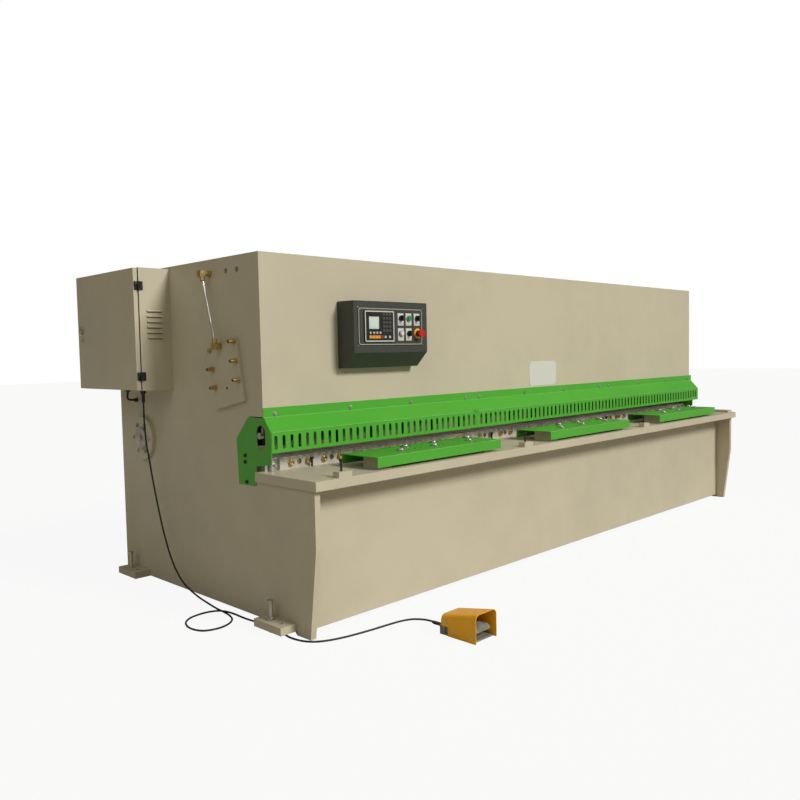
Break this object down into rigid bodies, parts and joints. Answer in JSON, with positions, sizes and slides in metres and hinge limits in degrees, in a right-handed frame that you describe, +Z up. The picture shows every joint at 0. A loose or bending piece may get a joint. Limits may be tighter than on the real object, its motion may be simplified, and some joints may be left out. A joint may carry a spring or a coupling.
{
  "type": "hydraulic guillotine shear",
  "caption": "Hydraulic guillotine shear with swinging blade beam, slotted finger guard, ball transfer trays, side cabinet with hinged door, control box and foot pedal on a cord.",
  "frame": {"origin": "bottom centre of the machine's box, on the floor, without the pedal and its cord", "axes": "+X along the blades, towards the end without the cabinet; +Y back, away from the operator; +Z up"},
  "size_m": [4.7015, 2.327, 1.7],
  "materials": {
    "beige_paint": "satin light beige machine enamel",
    "green_paint": "satin bright green enamel",
    "dark_paint": "fine textured dark grey green enamel",
    "grey_paint": "matt grey primer",
    "bare_steel": "ground steel, lightly oiled",
    "blade_steel": "ground tool steel",
    "chromed_rod": "polished",
    "brass": "bright machined brass",
    "black_plastic": "matt black",
    "green_plastic": "gloss green",
    "white_plastic": "gloss white",
    "red_plastic": "gloss red",
    "zinc_plate": "yellow passivated zinc",
    "pedal_yellow": "satin orange yellow enamel",
    "pedal_grey": "grey cast metal",
    "cord_black": "matt black cable jacket"
  },
  "bodies": {
    "frame": {"left_side_plate": "beige_paint", "right_side_plate": "beige_paint", "front_plate": "beige_paint", "front_panel": "beige_paint", "worktable": "beige_paint", "lower_blade_seat": "bare_steel", "lower_blade": "blade_steel", "finger_guard_left": "green_paint", "finger_guard_right": "green_paint", "left_end_guard": "green_paint", "right_end_guard": "green_paint", "control_box": "dark_paint", "control_fascia": "dark_paint", "controller": "black_plastic", "cabinet_body": "beige_paint", "cabinet_mounting_plate": "zinc_plate", "door_hinges": "black_plastic", "pivot_flange_left": "beige_paint", "pivot_flange_right": "beige_paint", "guide_plate_left": "beige_paint", "guide_plate_right": "beige_paint", "oil_pipe": "bare_steel", "pipe_fittings": "brass", "feet_left": "beige_paint", "feet_right": "beige_paint", "levelling_screws": "bare_steel", "ball_tray_left": "green_paint", "ball_tray_middle": "green_paint", "ball_tray_right": "green_paint", "tray_blocks": "beige_paint", "table_pads": "beige_paint", "stop_pins": "black_plastic", "hold_downs": "grey_paint", "rear_tie_beam": "beige_paint", "oil_tank": "beige_paint", "cylinder_barrels": "grey_paint", "cable_gland": "black_plastic", "pedal_cord": "cord_black", "pedal_base": "pedal_grey", "pedal_hood": "pedal_yellow", "delivery_slope": "beige_paint"},
    "beam": {"blade_beam": "grey_paint", "upper_blade": "blade_steel", "back_gauge": "bare_steel"},
    "rods": {"cylinder_rods": "chromed_rod"},
    "door": {"cabinet_door": "beige_paint", "door_lock": "bare_steel"},
    "treadle": {"pedal_treadle": "pedal_grey"},
    "start_button": {"green_button": "green_plastic"},
    "jog_button": {"white_button": "white_plastic"},
    "stop_head": {"emergency_stop": "red_plastic"},
    "knob_left": {"selector_left": "black_plastic"},
    "knob_right": {"selector_right": "black_plastic"},
    "knob_lower": {"selector_lower": "black_plastic"}
  },
  "joints": [
    {"name": "beam_swing", "type": "hinge", "parent": "frame", "child": "beam", "pos_m": [0.061, 0.576, 0.795], "axis": [1, 0, 0], "range_deg": [0, 7.33]},
    {"name": "rods_stroke", "type": "slide", "parent": "frame", "child": "rods", "axis": [0, 0, -1], "range_m": [0, 0.1045]},
    {"name": "door_swing", "type": "hinge", "parent": "frame", "child": "door", "pos_m": [-2.2795, 0.24, 1.378], "axis": [0, 0, 1], "range_deg": [0, 110]},
    {"name": "treadle_press", "type": "hinge", "parent": "frame", "child": "treadle", "pos_m": [-1.602, -1.252, 0.044], "axis": [1, 0, 0], "range_deg": [0, 6.8], "stiffness_Nm_per_rad": 20, "springref_deg": -6.88},
    {"name": "start_button_press", "type": "slide", "parent": "frame", "child": "start_button", "axis": [0, 1, 0], "range_m": [0, 0.004], "stiffness_N_per_m": 400},
    {"name": "jog_button_press", "type": "slide", "parent": "frame", "child": "jog_button", "axis": [0, 1, 0], "range_m": [0, 0.004], "stiffness_N_per_m": 400},
    {"name": "stop_head_press", "type": "slide", "parent": "frame", "child": "stop_head", "axis": [0, 1, 0], "range_m": [0, 0.005]},
    {"name": "knob_left_turn", "type": "hinge", "parent": "frame", "child": "knob_left", "pos_m": [-1.331, -0.661, 1.408], "axis": [0, -1, 0], "range_deg": [-45, 45]},
    {"name": "knob_right_turn", "type": "hinge", "parent": "frame", "child": "knob_right", "pos_m": [-1.214, -0.661, 1.408], "axis": [0, -1, 0], "range_deg": [-45, 45]},
    {"name": "knob_lower_turn", "type": "hinge", "parent": "frame", "child": "knob_lower", "pos_m": [-1.274, -0.661, 1.331], "axis": [0, -1, 0], "range_deg": [-45, 45]}
  ],
  "couplings": [
    {"joint": "rods_stroke", "follows": "beam_swing", "m_per_rad": 0.814}
  ]
}
